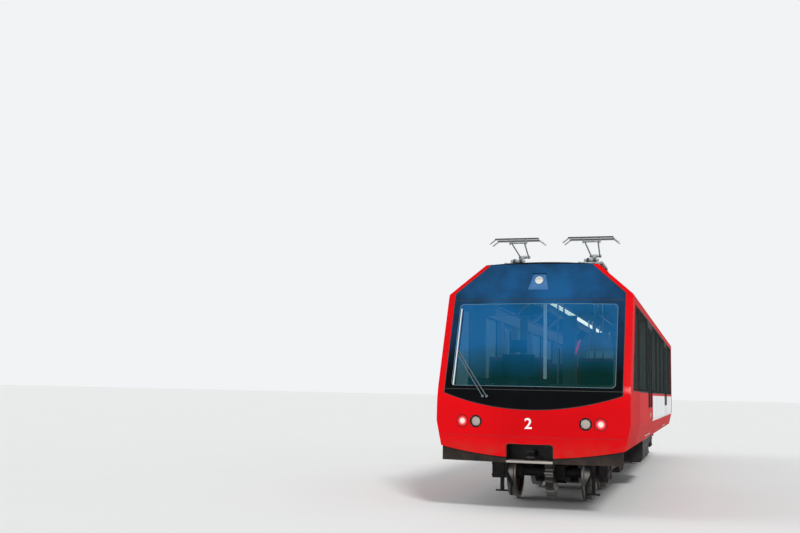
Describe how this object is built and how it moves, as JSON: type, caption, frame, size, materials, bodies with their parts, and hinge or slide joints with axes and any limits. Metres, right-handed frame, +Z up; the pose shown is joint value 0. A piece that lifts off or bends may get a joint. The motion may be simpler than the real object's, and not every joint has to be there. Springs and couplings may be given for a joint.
{
  "type": "rack railway motor car",
  "caption": "Rack railway motor car with a raked dark-glass cab front, flush side windows, swivelling bogies, toothed drive pinions and roof current collectors.",
  "frame": {"origin": "midway along and across the car, at the tips of the wheel flanges", "axes": "+X to the right seen from in front of the cab, +Y from the cab front to the coupled end, +Z up"},
  "size_m": [2.5, 15.3597, 3.8271],
  "materials": {
    "red_paint": "gloss enamel",
    "side_paint": "gloss enamel with a white band",
    "grey_paint": "satin",
    "roof_paint": "satin, ribbed",
    "black_glass": "gloss, printed black",
    "tinted_glass": "gloss, tinted",
    "clear_lens": "gloss",
    "red_lens": "gloss",
    "black_plastic": "moulded",
    "dark_steel": "satin, dusty",
    "wheel_steel": "turned, worn bright at the tread",
    "pinion_steel": "machined, oiled",
    "galvanised": "satin",
    "floor_cover": "studded",
    "seat_shell": "moulded",
    "lining": "satin laminate",
    "lamp_strip": "opal",
    "carbon": "carbon strip"
  },
  "bodies": {
    "car_body": {"cab_shell": "red_paint", "apron": "red_paint", "lower_mask": "black_glass", "windscreen": "tinted_glass", "head_panel": "black_glass", "headlamp_tray": "black_plastic", "lamp_bezels": "black_plastic", "white_lamps": "clear_lens", "red_lamps": "red_lens", "front_skirt": "grey_paint", "coupler_pocket": "black_plastic", "towing_jaw": "dark_steel", "wiper": "black_plastic", "side_wall_left": "side_paint", "side_wall_right": "side_paint", "side_glass_left": "tinted_glass", "side_glass_right": "tinted_glass", "doors_left": "side_paint", "doors_right": "side_paint", "door_glass": "tinted_glass", "cant_rail_left": "red_paint", "cant_rail_right": "red_paint", "skylights": "tinted_glass", "roof": "roof_paint", "rear_shell": "red_paint", "rear_glass": "tinted_glass", "underframe": "dark_steel", "floor": "floor_cover", "drawbar": "dark_steel", "driver_desk": "black_plastic", "driver_seat": "seat_shell", "partition": "lining", "seats": "seat_shell", "grab_poles": "galvanised", "ceiling_lights": "lamp_strip", "converter_box": "dark_steel", "resistor_box": "dark_steel", "battery_box": "dark_steel", "air_tanks": "dark_steel", "collector_base": "galvanised"},
    "bogie_front": {"bogie_frame_front": "dark_steel", "drive_unit_front": "dark_steel", "suspension_front": "dark_steel", "brake_units_front": "dark_steel"},
    "bogie_rear": {"bogie_frame_rear": "dark_steel", "drive_unit_rear": "dark_steel", "suspension_rear": "dark_steel", "brake_units_rear": "dark_steel"},
    "axle_1": {"wheelset_1": "wheel_steel", "rack_pinion_front": "pinion_steel"},
    "axle_2": {"wheelset_2": "wheel_steel"},
    "axle_3": {"wheelset_3": "wheel_steel"},
    "axle_4": {"wheelset_4": "wheel_steel", "rack_pinion_rear": "pinion_steel"},
    "lower_arm_left": {"lower_arm_left": "galvanised"},
    "upper_arm_left": {"upper_arm_left": "galvanised"},
    "head_left": {"collector_head_left": "carbon"},
    "lower_arm_right": {"lower_arm_right": "galvanised"},
    "upper_arm_right": {"upper_arm_right": "galvanised"},
    "head_right": {"collector_head_right": "carbon"}
  },
  "joints": [
    {"name": "bogie_front_swivel", "type": "hinge", "parent": "car_body", "child": "bogie_front", "pos_m": [0, -4.68, 0.7], "axis": [0, 0, 1], "range_deg": [-4, 4]},
    {"name": "bogie_rear_swivel", "type": "hinge", "parent": "car_body", "child": "bogie_rear", "pos_m": [0, 4.32, 0.7], "axis": [0, 0, 1], "range_deg": [-4, 4]},
    {"name": "axle_1_spin", "type": "hinge", "parent": "bogie_front", "child": "axle_1", "pos_m": [0, -5.68, 0.393], "axis": [1, 0, 0], "continuous": true},
    {"name": "axle_2_spin", "type": "hinge", "parent": "bogie_front", "child": "axle_2", "pos_m": [0, -3.68, 0.393], "axis": [1, 0, 0], "continuous": true},
    {"name": "axle_3_spin", "type": "hinge", "parent": "bogie_rear", "child": "axle_3", "pos_m": [0, 3.32, 0.393], "axis": [1, 0, 0], "continuous": true},
    {"name": "axle_4_spin", "type": "hinge", "parent": "bogie_rear", "child": "axle_4", "pos_m": [0, 5.32, 0.393], "axis": [1, 0, 0], "continuous": true},
    {"name": "collector_left_raise", "type": "hinge", "parent": "car_body", "child": "lower_arm_left", "pos_m": [-0.55, -5.53, 3.49], "axis": [1, 0, 0], "range_deg": [-9.5, 31.5]},
    {"name": "collector_left_knee", "type": "hinge", "parent": "lower_arm_left", "child": "upper_arm_left", "pos_m": [-0.55, -4.94658, 3.63007], "axis": [1, 0, 0], "range_deg": [-63, 19]},
    {"name": "collector_left_head", "type": "hinge", "parent": "upper_arm_left", "child": "head_left", "pos_m": [-0.55, -5.53, 3.77013], "axis": [1, 0, 0], "range_deg": [-9.5, 31.5]},
    {"name": "collector_right_raise", "type": "hinge", "parent": "car_body", "child": "lower_arm_right", "pos_m": [0.55, -5.53, 3.49], "axis": [1, 0, 0], "range_deg": [-9.5, 31.5]},
    {"name": "collector_right_knee", "type": "hinge", "parent": "lower_arm_right", "child": "upper_arm_right", "pos_m": [0.55, -4.94658, 3.63007], "axis": [1, 0, 0], "range_deg": [-63, 19]},
    {"name": "collector_right_head", "type": "hinge", "parent": "upper_arm_right", "child": "head_right", "pos_m": [0.55, -5.53, 3.77013], "axis": [1, 0, 0], "range_deg": [-9.5, 31.5]}
  ],
  "couplings": [
    {"joint": "collector_left_knee", "follows": "collector_left_raise", "ratio": -2},
    {"joint": "collector_left_head", "follows": "collector_left_raise", "ratio": 1},
    {"joint": "collector_right_knee", "follows": "collector_right_raise", "ratio": -2},
    {"joint": "collector_right_head", "follows": "collector_right_raise", "ratio": 1}
  ]
}
